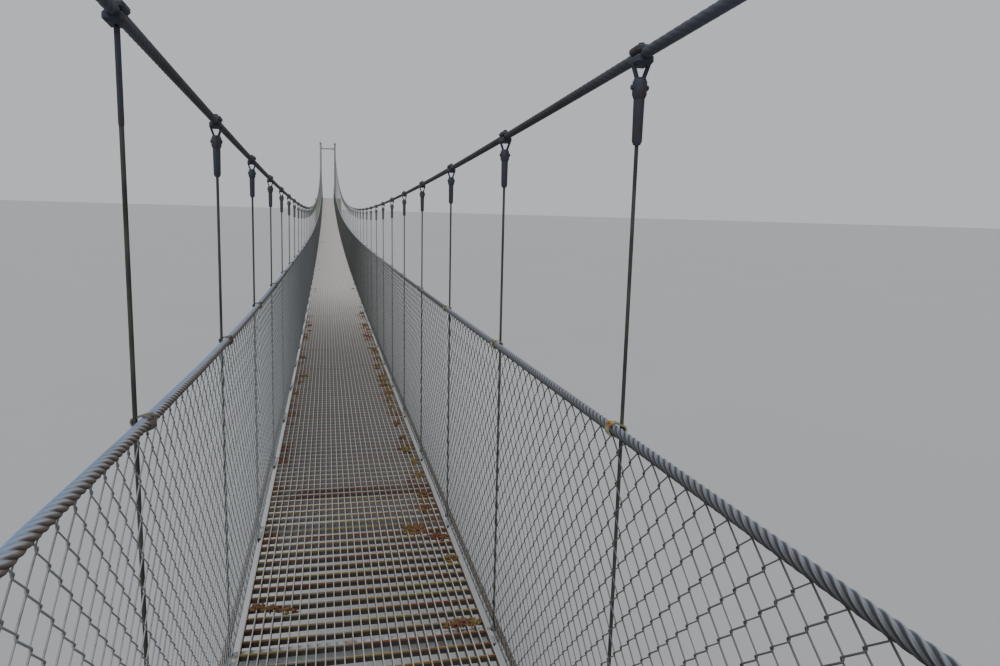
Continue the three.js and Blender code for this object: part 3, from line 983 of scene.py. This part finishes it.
fittings = {"clamps": clamp.mesh(), "jaws": jaw.mesh(), "slim_sleeves": slim.mesh(), "feet": foot.mesh()}
slim_place = -12 * bay
for hand, side in sides.items():
    rods = []
    spots = {kind: [] for kind in fittings}
    for y in hanger_places:
        up = lean(side, y)
        cable = ahead_on(cable_sag, y)
        top = hanger_point(side, y, cable_height(y))
        seat = hanger_point(side, y, deck_top(y) - grating_depth)
        rods.append([seat - up * (transom_depth + real(32)), top - up * real(170)])
        spots["clamps"].append((top, above(cable), cable))
        top_end = "slim_sleeves" if hand == "left" and abs(y - slim_place) < real(1) else "jaws"
        spots[top_end].append((top, up, (0, 1, 0)))
        spots["feet"].append((seat, up, (0, 1, 0)))
    nodes = [f"hangers_{number}_{hand}" for number in range(1, 5)]
    wire_recipe.show(f"hanger_rods_{hand}", lines(rods), rod_sizes, rod_finish, nodes)
    for kind, pattern in fittings.items():
        if spots[kind]:
            repeated(f"hanger_{kind}_{hand}", pattern, spots[kind], fitting_finish)


# Handrail ropes
# A 24 mm galvanised wire rope runs at hand height on each side, inside the hangers, from tower to tower,
# and ends in a swaged socket at each leg. The left one is pale, with a painted bluish reflection on its
# outer side and painted brown shade below, and the right one has painted shade on its inner side. Both have
# painted highlights on their upper crowns, painted shade in their grooves and painted paleness far off.
def rail_rope():
    finish = Finish("pale_wire_rope", "rail_rope", Metallic=0.35)
    crown = finish.attribute("crown")
    upward = finish.attribute("upward")
    outward = finish.attribute("outward")
    wire = finish.speckle(5, 2)
    right = finish.fade("X", 0, 100)
    under = upward.step(0.85, 0.35)
    # Steel grey, with a painted bluish sky reflection on the outer side, and painted brown shade below on
    # the left rope.
    steel = finish.mix(
        tint(150, 154, 160),
        (tint(110, 134, 170), outward.step(-0.65, -0.1) * (1 - right * 0.75)),
        (tint(104, 84, 64), under * (1 - right) * 0.85),
    )
    colour = finish.mix(
        # Painted dark brown shade on the underside, under the steel colour on the parts that face up.
        tint(44, 37, 30),
        (steel, upward.step(-0.8, 0)),
        # Painted shade on the right rope, strongest on its inner side.
        (tint(40, 41, 43), right * (0.1 + outward.step(0.45, -0.6) * 0.75)),
        (tint(104, 104, 106), finish.speckle(380, 6).step(0.45, 0.7) * 0.2),
        (tint(92, 78, 64), finish.speckle(90, 6).step(0.5, 0.68) * 0.2),
        # Painted highlight on the upper strand crowns.
        (tint(186, 193, 202), crown.step(0.8, 1) * upward.step(0, 0.6) * 0.3),
        # Painted shade in the grooves, strongest below on the left rope and all over the right rope.
        (tint(36, 35, 38), crown.step(0.66, 0.1) * (under * (1 - right) * 0.75 + 0.1 + right * 0.4)),
        # Painted paleness far off.
        (tint(176, 182, 190), finish.fade("Y", -11000, -1000) * 0.75),
    )
    return finish.paint(colour, 0.45 + wire * 0.3, crown * 0.4 + wire * 0.6, real(1))


rail_finish = rail_rope()
rail_radius = real(12)
rail_inset = rod_radius + rail_radius + real(3)


def rail_point(side, y):
    height = deck_top(y) + rail_height(side, y)
    return Vector((side * (hanger_spread(y, height) - rail_inset), y, height))


def stretch(point, side, start, end):
    """A rope's points along the bridge, half a bay apart, from the function that gives one."""
    steps = round((end - start) / (bay / 2))
    return [point(side, start + (end - start) * i / steps) for i in range(steps + 1)]


strands_end = -10 * bay
middle_end = -4 * bay
rail_sizes = {"Radius": rail_radius, "Strands": 6, "Groove": 0.26}
worn_groove = {1: 0.26, -1: 0.15}
far_rail = {**rail_sizes, "Corners": 2, "Lay": real(1200), "Steps": 14.0}
middle_rail = {**rail_sizes, "Corners": 2, "Lay": real(144), "Steps": 12.0}
close_rail = {**rail_sizes, "Corners": 6, "Lay": real(144), "Steps": 18.0}
for hand, side in sides.items():
    far = [
        stretch(rail_point, side, -rail_end, close_start),
        stretch(rail_point, side, middle_end, rail_end),
    ]
    middle = [stretch(rail_point, side, strands_end, middle_end)]
    close = [stretch(rail_point, side, close_start, strands_end)]
    sizes = {**close_rail, "Groove": worn_groove[side]}
    rope_recipe.show(f"handrail_{hand}", lines(far), far_rail, rail_finish, [f"handrail_rope_{hand}"])
    rope_recipe.show(f"handrail_middle_{hand}", lines(middle), middle_rail, rail_finish)
    rope_recipe.show(f"handrail_strands_{hand}", lines(close), sizes, rail_finish)
    ends = Steelwork()
    for end in banks.values():
        start = rail_point(side, end * (rail_end - real(150)))
        stop = rail_point(side, end * rail_end)
        length = (stop - start).length
        socket = [
            (0, 0), (real(14), 0), (real(20), real(12)), (real(20), length - real(30)),
            (real(15), length - real(20)), (real(15), length), (0, length),
        ]
        ends.turned(socket, 16, pointing(start, stop - start))
    ends.show(f"handrail_sockets_{hand}", galvanised_finish)


# Rail clips
# At every hanger a band of flat steel is bent round the handrail rope and the rod outside it. A saddle
# under its bolt presses on the rope's upper inner side. The nearest one on the right is orange with rust.
def clip_steel():
    finish = Finish("clip_bands", "dark_steel", Metallic=0.2)
    fleck = finish.speckle(10, 4)
    right = finish.fade("X", -50, 50)
    colour = finish.mix(
        tint(104, 98, 92),
        (tint(146, 143, 112), right),
        (tint(78, 66, 56), finish.speckle(40, 4).step(0.46, 0.66) * (1 - right * 0.5)),
        (tint(96, 68, 46), fleck.step(0.55, 0.7) * 0.5),
    )
    return finish.paint(colour, 0.6 + fleck * 0.3, fleck, real(1))


def orange_rust():
    finish = Finish("orange_rust", "dark_steel", Metallic=0.1)
    fleck = finish.speckle(8, 4)
    colour = finish.mix(
        tint(184, 128, 48),
        (tint(112, 76, 46), fleck.step(0.4, 0.65)),
        (tint(112, 106, 96), finish.fade("Y", -14200, -13300) * 0.85),
    )
    return finish.paint(colour, 0.75 + fleck * 0.2, fleck, real(1.5))


def bend(centre, radius, start, turn, steps):
    """The points of a bend in the band, from a start angle through a turn, in degrees."""
    angles = [math.radians(start + turn * i / steps) for i in range(steps + 1)]
    return [Vector((centre + radius * math.cos(a), radius * math.sin(a))) for a in angles]


clip_finish = clip_steel()
rust_finish = orange_rust()
band = Steelwork()
round_rod = bend(rail_inset, real(6.6), -90, 180, 4)
round_rope = bend(0, real(13.4), 72, 216, 8)
band.hoop([*round_rod, *round_rope], real(3.8), real(18))
band = band.mesh()
saddle_turn = Matrix.Rotation(math.radians(-38), 4, "Y")
press = Steelwork()
press.block(reals(12, 20, 4), saddle_turn @ Matrix.Translation((0, 0, real(17))), real(1.5))
press.disc(real(5), real(18.5), real(23.5), 6, saddle_turn)
press = press.mesh()
left_turn = Matrix.Rotation(math.radians(-24), 3, "Z")
for hand, side in sides.items():
    spots = []
    for y in hanger_places:
        ahead = ahead_on(deck_sag, y) * side
        if hand == "left":
            ahead = left_turn @ ahead
        spots.append((rail_point(side, y), lean(side, y), ahead))
    repeated(f"rail_clips_{hand}", band, spots, clip_finish)
    repeated(f"rail_clip_saddles_{hand}", press, spots, rust_finish if hand == "right" else clip_finish)


# Bottom ropes
# A brown wire rope lies on the transom ends, just outside the rods' feet, from bank to bank. The netting is
# laced to it.
def brown_rope():
    finish = Finish("brown_grey_rope", "rail_rope", Metallic=0.2)
    crown = finish.attribute("crown")
    cloud = finish.speckle(200, 6)
    colour = finish.mix(
        tint(62, 54, 48),
        # Painted shade in the strand grooves: the crowns are lighter.
        (tint(118, 110, 102), crown.step(0.1, 0.9)),
        (tint(98, 76, 56), cloud.step(0.45, 0.65) * 0.6),
    )
    return finish.paint(colour, 0.65 + cloud * 0.25, crown, real(1))


bottom_finish = brown_rope()
bottom_radius = real(12)
bottom_spread = hanger_foot + rod_radius + bottom_radius - real(2)
bottom_drop = real(12)


def bottom_point(side, y):
    return Vector((side * bottom_spread, y, deck_top(y) - bottom_drop))


bottom_close_end = -6 * bay
bottom_sizes = {"Radius": bottom_radius, "Strands": 6, "Corners": 2, "Groove": 0.2}
far_bottom = {**bottom_sizes, "Lay": real(1200), "Steps": 14.0}
close_bottom = {**bottom_sizes, "Lay": real(160), "Steps": 12.0}
for hand, side in sides.items():
    far = [
        stretch(bottom_point, side, -deck_end, close_start),
        stretch(bottom_point, side, bottom_close_end, deck_end),
    ]
    close = [stretch(bottom_point, side, close_start, bottom_close_end)]
    rope_recipe.show(f"bottom_rope_{hand}", lines(far), far_bottom, bottom_finish)
    rope_recipe.show(f"bottom_rope_strands_{hand}", lines(close), close_bottom, bottom_finish)


# Netting
# Chain-link wire netting with 50 mm meshes closes each side, inside the rods, from the deck's edge up to
# the handrail rope. Its wires are zigzags hooked into each other. Lacing wire ties it to the bottom rope.
def zinc_wire():
    finish = Finish("zinc_wire", "netting", Metallic=0.3)
    fleck = finish.speckle(12, 3)
    # Painted light on the left side's netting, a little stronger at the near end.
    light = finish.fade("X", 100, -100) * (0.3 + finish.fade("Y", -11000, -14000) * 0.15)
    colour = finish.mix(
        tint(112, 114, 112),
        (tint(86, 88, 84), finish.speckle(300, 5)),
        (tint(170, 176, 182), light),
        (tint(84, 76, 64), fleck.step(0.56, 0.72) * 0.4),
    )
    return finish.paint(colour, 0.5 + fleck * 0.25)


wire_finish = zinc_wire()
mesh_diagonal = real(71)
wire_radius = real(1.6)
netting_spread = real(493)
netting_foot = real(4)
hooked_start = -13 * bay
hooked_end = -10 * bay


def netting_height(side):
    return rail_heights[side] + netting_foot - rail_radius


def netting_point(side, y, height, offset):
    """A place on one side's netting, by its height above the netting's foot, moved across by the offset."""
    low = Vector((side * netting_spread, y, deck_top(y) - netting_foot))
    high = rail_point(side, y) - Vector((0, 0, rail_radius))
    return low + (high - low) * (height / netting_height(side)) + Vector((side * offset, 0, 0))


def straight_wires(side, start, end):
    """The wires of a far stretch, which look straight: one row rises ahead and one rises back."""
    tall = netting_height(side)
    wires = []
    for direction in (-1, 1):
        first = start if direction == -1 else start - mesh_diagonal * math.ceil(tall / mesh_diagonal)
        for i in range(int((end - start + tall) / mesh_diagonal) + 1):
            y = first + i * mesh_diagonal
            reaches = sorted(((start - y) * direction, (end - y) * direction))
            low = max(0, reaches[0])
            high = min(tall, reaches[1])
            if high - low > wire_radius:
                wires.append([
                    netting_point(side, y + direction * height, height, direction * wire_radius)
                    for height in (low, high)
                ])
    return wires


def hooked_wires(side, start, end):
    """The wires of a close stretch: each is a zigzag with a small loop in every bend round the next."""
    tall = netting_height(side)
    half = mesh_diagonal / 2
    loop = real(4)
    hook = real(2.4)
    last_turn = 65
    wires = []
    for column in range(round((end - start) / half)):
        left = start + column * half
        points = []
        height = 0
        row = column % 2
        while height < tall:
            far = row % 2
            y = left + half + hook if far else left - hook
            outwards = 1 if far else -1
            for turn in (-last_turn, -25, 25, last_turn):
                rise = loop * math.sin(math.radians(turn))
                back = loop * (1 - math.cos(math.radians(turn)))
                away = -outwards * wire_radius * turn / last_turn
                if 0 <= height + rise <= tall:
                    points.append(netting_point(side, y - outwards * back, height + rise, away))
            height += half
            row += 1
        share = (tall - height + half) / half
        y += (half + 2 * hook) * share * (-1 if far else 1)
        wires.append([*points, netting_point(side, y, tall, away)])
    return wires


def tie(side, y):
    """A turn of lacing wire round the bottom rope and the netting's line wire."""
    inner = netting_point(side, y, 0, -wire_radius * 2.5)
    turns = [math.radians(120 - 240 * k / 8) for k in range(9)]
    around = bottom_radius + wire_radius
    loop = [bottom_point(side, y) + Vector((side * math.cos(a), 0, math.sin(a))) * around for a in turns]
    return [inner + Vector((0, 0, real(7))), *loop, inner]


tie_step = bay / 3
first_tie = -deck_end + real(40)
edge_steps = 192
thin_wire = {"Radius": wire_radius, "Sides": 3}
close_wire = {"Radius": wire_radius, "Sides": 4}
line_wire = {"Radius": real(3), "Sides": 5}
for hand, side in sides.items():
    far = straight_wires(side, -deck_end, hooked_start) + straight_wires(side, hooked_end, deck_end)
    close = hooked_wires(side, hooked_start, hooked_end)
    reaches = [-deck_end + 2 * deck_end * i / edge_steps for i in range(edge_steps + 1)]
    edge = [netting_point(side, y, wire_radius, 0) for y in reaches]
    ties = [tie(side, first_tie + i * tie_step) for i in range(int(2 * deck_end / tie_step))]
    nodes = [f"netting_{number}_{hand}" for number in range(1, 5)]
    wire_recipe.show(f"netting_wires_{hand}", lines(far), thin_wire, wire_finish, nodes)
    wire_recipe.show(f"netting_hooked_{hand}", lines(close), close_wire, wire_finish)
    wire_recipe.show(f"netting_line_wire_{hand}", lines([edge]), line_wire, wire_finish)
    wire_recipe.show(f"netting_lacing_{hand}", lines(ties), thin_wire, wire_finish)


# Dirt
# Clumps of rusty grit and dry litter have caught in the grating, most of them along its right edge. Each is
# a low heap of small slim grains that bridges a few bars.
def caught_grains():
    """A rough grain at each point, stretched by the point's 'size' vector."""
    recipe = Recipe("caught_grains", {"Roughness": "Float", "Seed": "Float"})
    grain = recipe.node("GeometryNodeMeshIcoSphere", {"Radius": 1.0, "Subdivisions": 1}, "Mesh")
    grains = recipe.set_out(grain, Scale=recipe.carried("size"))
    grains = recipe.node("GeometryNodeRealizeInstances", [grains])
    rough = {"W": recipe.given("Seed"), "Scale": 1 / real(15), "Detail": 3.0}
    rough = recipe.node("ShaderNodeTexNoise", rough, "Color", noise_dimensions="4D")
    push = recipe.node("ShaderNodeVectorMath", [rough, (0.5, 0.5, 0.5)], operation="SUBTRACT")
    push = {"Vector": push, "Scale": recipe.given("Roughness")}
    push = recipe.node("ShaderNodeVectorMath", push, operation="SCALE")
    return recipe.close(recipe.node("GeometryNodeSetPosition", {"Geometry": grains, "Offset": push}))


def dry_dirt():
    finish = Finish("rusty_dirt", "dark_steel")
    fleck = finish.speckle(12, 5)
    colour = finish.mix(
        tint(108, 94, 46),
        (tint(106, 62, 42), finish.speckle(260, 4).step(0.42, 0.58)),
        (tint(46, 37, 26), fleck.step(0.42, 0.6) * 0.8),
    )
    return finish.paint(colour, 0.9 + fleck * 0.1, fleck, real(3))


# Each heap is its place across and along, then its half width and half length, in real millimetres.
heaps = [
    (390, -9590, 30, 60), (390, -10110, 28, 60), (400, -10500, 20, 50), (390, -10810, 34, 60),
    (425, -11100, 20, 60), (425, -11370, 26, 60), (410, -11700, 38, 50), (385, -11920, 28, 40),
    (300, -12210, 64, 60), (400, -12310, 50, 26), (430, -12350, 24, 30), (430, -12580, 36, 40),
    (385, -13170, 80, 34), (-430, -12900, 36, 28), (-370, -12920, 44, 24), (-310, -12950, 34, 24),
    (-440, -13620, 24, 60), (-420, -13860, 20, 50),
]
thick_start = -9300
thick_end = -2500
behind_eye = -16800
chance = random.Random(7)
for i in range(34):
    side = 1 if chance.random() < 0.65 else -1
    y = chance.uniform(thick_start, thick_end)
    heaps.append((side * chance.uniform(375, 440), y, chance.uniform(20, 40), chance.uniform(40, 100)))
for i in range(60):
    side = 1 if chance.random() < 0.6 else -1
    y = chance.uniform(-55000, 55000)
    if not behind_eye < y < thick_end:
        heaps.append((side * chance.uniform(330, 445), y, chance.uniform(15, 34), chance.uniform(18, 46)))
room_for_a_grain = 26
grains = []
sizes = []
for x, y, wide, long in heaps:
    for i in range(int(wide * long / room_for_a_grain)):
        angle = chance.uniform(0, 2 * math.pi)
        reach = chance.random() ** 0.7
        grain_y = real(y + long * reach * math.sin(angle))
        height = real(chance.uniform(-3, 9) - 9 * reach)
        grains.append((real(x + wide * reach * math.cos(angle)), grain_y, deck_top(grain_y) + height))
        size = [real(chance.uniform(9, 20)), real(chance.uniform(3, 8))]
        chance.shuffle(size)
        sizes += [*size, real(chance.uniform(2.5, 6))]
mesh = bpy.data.meshes.new("grains")
mesh.from_pydata(grains, [], [])
mesh.attributes.new("size", "FLOAT_VECTOR", "POINT").data.foreach_set("vector", sizes)
caught_grains().show("caught_dirt", mesh, {"Roughness": real(8), "Seed": 4.0}, dry_dirt())


# Floor, light and camera
# A plain pale studio floor under soft light from above. The camera stands on the bridge at eye height, left
# of the middle, and looks a little down and to the right along it.
floor = bpy.data.meshes.new("floor")
floor_reach = 60.0
floor.from_pydata([(x, y, 0) for x, y in ((-1, -1), (1, -1), (1, 1), (-1, 1))], [], [(0, 1, 2, 3)])
floor.transform(Matrix.Scale(floor_reach, 4))
floor = bpy.data.objects.new("floor", floor)
bpy.context.scene.collection.objects.link(floor)
pale = Finish("pale_floor", Roughness=0.9)
pale.paint(pale.mix(tint(162, 163, 164), (tint(157, 158, 159), pale.speckle(4000, 4))))
floor.data.materials.append(pale.material)

sky = bpy.data.worlds.new("soft_room")
sky.use_nodes = True
background = sky.node_tree.nodes["Background"].inputs
background["Color"].default_value = tint(226, 230, 236)
background["Strength"].default_value = 0.75
bpy.context.scene.world = sky

lamp = bpy.data.lights.new("soft_top_light", "SUN")
lamp.energy = 2.2
lamp.angle = math.radians(40)
lamp = bpy.data.objects.new("soft_top_light", lamp)
lamp.rotation_euler = (math.radians(28), math.radians(-18), 0)
bpy.context.scene.collection.objects.link(lamp)

image_width = 1000
focal_pixels = 743.15
eye = Vector((real(-138), real(-15900), middle_deck + real(1776)))
heading = math.radians(-13.222)
tilt = math.radians(80.703)
roll = math.radians(1.694)
camera = bpy.data.cameras.new("camera")
camera.sensor_width = 36
camera.lens = focal_pixels * camera.sensor_width / image_width
camera.clip_start = 0.005
camera.clip_end = 200
camera = bpy.data.objects.new("camera", camera)
turn = Matrix.Rotation(heading, 4, "Z") @ Matrix.Rotation(tilt, 4, "X") @ Matrix.Rotation(roll, 4, "Z")
camera.matrix_world = Matrix.Translation(eye) @ turn
bpy.context.scene.collection.objects.link(camera)
bpy.context.scene.camera = camera
